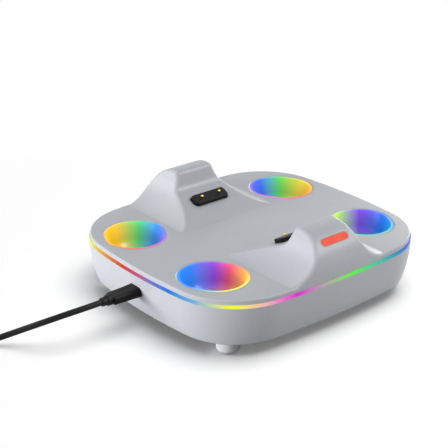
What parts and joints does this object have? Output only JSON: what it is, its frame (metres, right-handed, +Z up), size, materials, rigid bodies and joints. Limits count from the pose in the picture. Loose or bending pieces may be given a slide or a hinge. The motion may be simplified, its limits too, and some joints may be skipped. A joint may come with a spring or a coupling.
{
  "type": "controller charging dock",
  "caption": "Desktop charging dock with a rounded square hull, glowing light band, lit wells for controller grips, humps with contact seats and indicator bars, and a plugged-in cable.",
  "frame": {"origin": "on the surface that the dock stands on, under the middle of its body", "axes": "+X along the long side, away from the cable port; +Y to the back; +Z up"},
  "size_m": [0.3248, 0.2334, 0.0613],
  "materials": {
    "shell_grey": "satin",
    "band_light": "translucent",
    "well_blue": "translucent",
    "well_green": "translucent",
    "well_amber": "translucent",
    "well_violet": "translucent",
    "indicator_red": "satin",
    "foot_rubber": "matt",
    "strip_white": "matt",
    "lamp_white": "gloss",
    "board_green": "satin",
    "black_plastic": "satin",
    "white_plastic": "satin",
    "cord_black": "satin",
    "tie_black": "matt",
    "steel": "satin",
    "brass": "polished"
  },
  "bodies": {
    "dock": {"base_shell": "shell_grey", "top_shell": "shell_grey", "light_band": "band_light", "light_strip": "strip_white", "band_lamps": "lamp_white", "well_lamps": "lamp_white", "case_screws": "steel", "usb_socket_shell": "steel", "usb_socket_tongue": "black_plastic", "main_board": "board_green", "board_chips": "black_plastic", "board_screws": "steel", "indicator_lamps": "lamp_white", "plug_shell": "steel", "plug_housing": "black_plastic", "strain_relief": "cord_black", "cord": "cord_black", "cord_coil": "cord_black", "cord_tie": "tie_black", "cord_tail": "cord_black", "far_plug_relief": "cord_black", "far_plug_housing": "black_plastic", "far_plug_shell": "steel", "far_plug_tongue": "white_plastic", "well_cup_front_left": "well_blue", "lamp_board_front_left": "board_green", "foot_front_left": "foot_rubber", "well_cup_front_right": "well_green", "lamp_board_front_right": "board_green", "foot_front_right": "foot_rubber", "well_cup_rear_left": "well_amber", "lamp_board_rear_left": "board_green", "foot_rear_left": "foot_rubber", "well_cup_rear_right": "well_violet", "lamp_board_rear_right": "board_green", "foot_rear_right": "foot_rubber", "contact_head_front": "black_plastic", "contact_board_front": "board_green", "pin_barrels_front": "brass", "indicator_lens_front": "indicator_red", "indicator_board_front": "board_green", "contact_head_rear": "black_plastic", "contact_board_rear": "board_green", "pin_barrels_rear": "brass", "indicator_lens_rear": "indicator_red", "indicator_board_rear": "board_green"},
    "contact_pin_front_left_body": {"contact_pin_front_left": "brass"},
    "contact_pin_front_right_body": {"contact_pin_front_right": "brass"},
    "contact_pin_rear_left_body": {"contact_pin_rear_left": "brass"},
    "contact_pin_rear_right_body": {"contact_pin_rear_right": "brass"}
  },
  "joints": [
    {"name": "contact_pin_front_left_slide", "type": "slide", "parent": "dock", "child": "contact_pin_front_left_body", "axis": [0, -0.3907, -0.9205], "range_m": [0, 0.0015], "stiffness_N_per_m": 400, "springref_m": -0.001},
    {"name": "contact_pin_front_right_slide", "type": "slide", "parent": "dock", "child": "contact_pin_front_right_body", "axis": [0, -0.3907, -0.9205], "range_m": [0, 0.0015], "stiffness_N_per_m": 400, "springref_m": -0.001},
    {"name": "contact_pin_rear_left_slide", "type": "slide", "parent": "dock", "child": "contact_pin_rear_left_body", "axis": [0, 0.3907, -0.9205], "range_m": [0, 0.0015], "stiffness_N_per_m": 400, "springref_m": -0.001},
    {"name": "contact_pin_rear_right_slide", "type": "slide", "parent": "dock", "child": "contact_pin_rear_right_body", "axis": [0, 0.3907, -0.9205], "range_m": [0, 0.0015], "stiffness_N_per_m": 400, "springref_m": -0.001}
  ]
}
